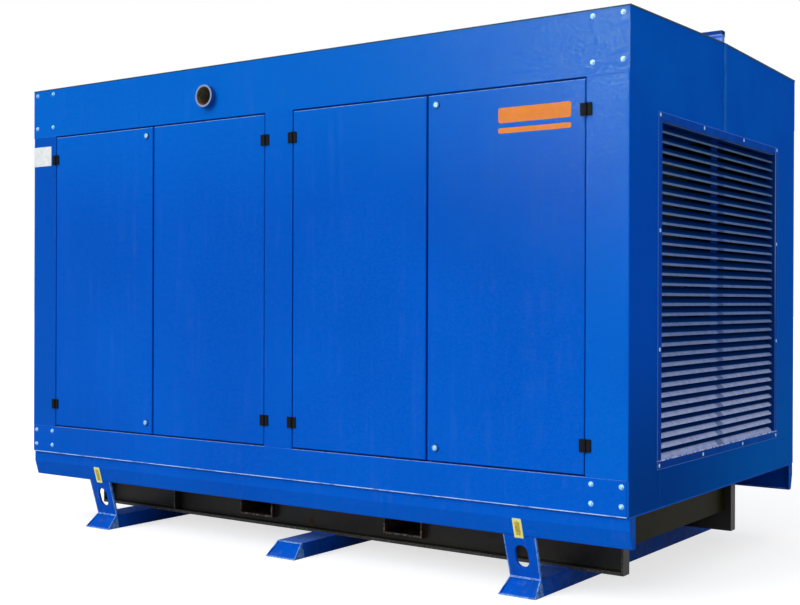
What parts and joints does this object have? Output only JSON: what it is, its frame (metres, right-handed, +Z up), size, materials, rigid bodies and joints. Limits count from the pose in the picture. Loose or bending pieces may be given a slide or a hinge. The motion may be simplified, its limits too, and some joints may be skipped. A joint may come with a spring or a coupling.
{
  "type": "diesel generator set",
  "caption": "Enclosed diesel generator set: sheet-steel canopy with hinged service doors and louvred end grilles, on a skid with fuel tank, cross feet and lifting brackets.",
  "frame": {"origin": "on the ground under the centre of the middle foot, at the middle of the length and width of the canopy", "axes": "+Z up; +X along the length to the radiator end; the hinged doors face -Y"},
  "size_m": [3.508, 2.007, 2.394],
  "materials": {
    "blue_paint": "glossy blue powder coat",
    "black_paint": "satin black paint",
    "black_hinge": "satin black",
    "lock_metal": "polished zinc",
    "pipe_steel": "dull stainless steel",
    "machine_grey": "satin grey machine enamel",
    "plate_yellow": "ochre enamelled plate",
    "plate_white": "pale enamelled plate",
    "door_rubber": "black rubber profile",
    "door_foam": "black sound-proofing foam",
    "orange_film": "orange adhesive film"
  },
  "bodies": {
    "canopy_and_skid": {"foot_left": "blue_paint", "foot_middle": "blue_paint", "foot_right": "blue_paint", "bracket_left_front": "blue_paint", "bracket_left_back": "blue_paint", "bracket_right_front": "blue_paint", "bracket_right_back": "blue_paint", "base_rail_front": "blue_paint", "base_rail_back": "blue_paint", "skid_beam_front": "black_paint", "skid_beam_back": "black_paint", "fork_pocket_left": "black_paint", "fork_pocket_right": "black_paint", "fuel_tank": "black_paint", "floor_plate": "black_paint", "corner_post_right_front": "blue_paint", "corner_post_right_back": "blue_paint", "corner_post_left_front": "blue_paint", "corner_post_left_back": "blue_paint", "middle_post_front": "blue_paint", "middle_post_back": "blue_paint", "sill_front": "blue_paint", "sill_back": "blue_paint", "header_front": "blue_paint", "header_back": "blue_paint", "end_wall_right": "blue_paint", "end_wall_left": "blue_paint", "louvre_right": "blue_paint", "louvre_left": "blue_paint", "roof_front": "blue_paint", "roof_back": "blue_paint", "ridge_cap": "blue_paint", "back_door_1": "blue_paint", "back_door_2": "blue_paint", "back_door_3": "blue_paint", "back_door_4": "blue_paint", "hinge_frames_front": "black_hinge", "hinges_back": "black_hinge", "tailpipe": "pipe_steel", "silencer": "pipe_steel", "engine": "machine_grey", "alternator": "machine_grey", "radiator": "black_paint"},
    "left_outer_door": {"door_1": "blue_paint", "door_hinges_1": "black_hinge", "locks_1": "lock_metal"},
    "left_inner_door": {"door_2": "blue_paint", "door_hinges_2": "black_hinge"},
    "right_inner_door": {"door_3": "blue_paint", "door_hinges_3": "black_hinge"},
    "right_outer_door": {"door_4": "blue_paint", "door_hinges_4": "black_hinge", "locks_4": "lock_metal"}
  },
  "joints": [
    {"name": "left_outer_door_hinge", "type": "hinge", "parent": "canopy_and_skid", "child": "left_outer_door", "pos_m": [-1.568, -0.99, 1.2845], "axis": [0, 0, -1], "range_deg": [0, 90]},
    {"name": "left_inner_door_hinge", "type": "hinge", "parent": "canopy_and_skid", "child": "left_inner_door", "pos_m": [-0.083, -0.99, 1.2845], "axis": [0, 0, 1], "range_deg": [0, 90]},
    {"name": "right_inner_door_hinge", "type": "hinge", "parent": "canopy_and_skid", "child": "right_inner_door", "pos_m": [0.083, -0.99, 1.2845], "axis": [0, 0, -1], "range_deg": [0, 90]},
    {"name": "right_outer_door_hinge", "type": "hinge", "parent": "canopy_and_skid", "child": "right_outer_door", "pos_m": [1.568, -0.99, 1.2845], "axis": [0, 0, 1], "range_deg": [0, 90]}
  ]
}
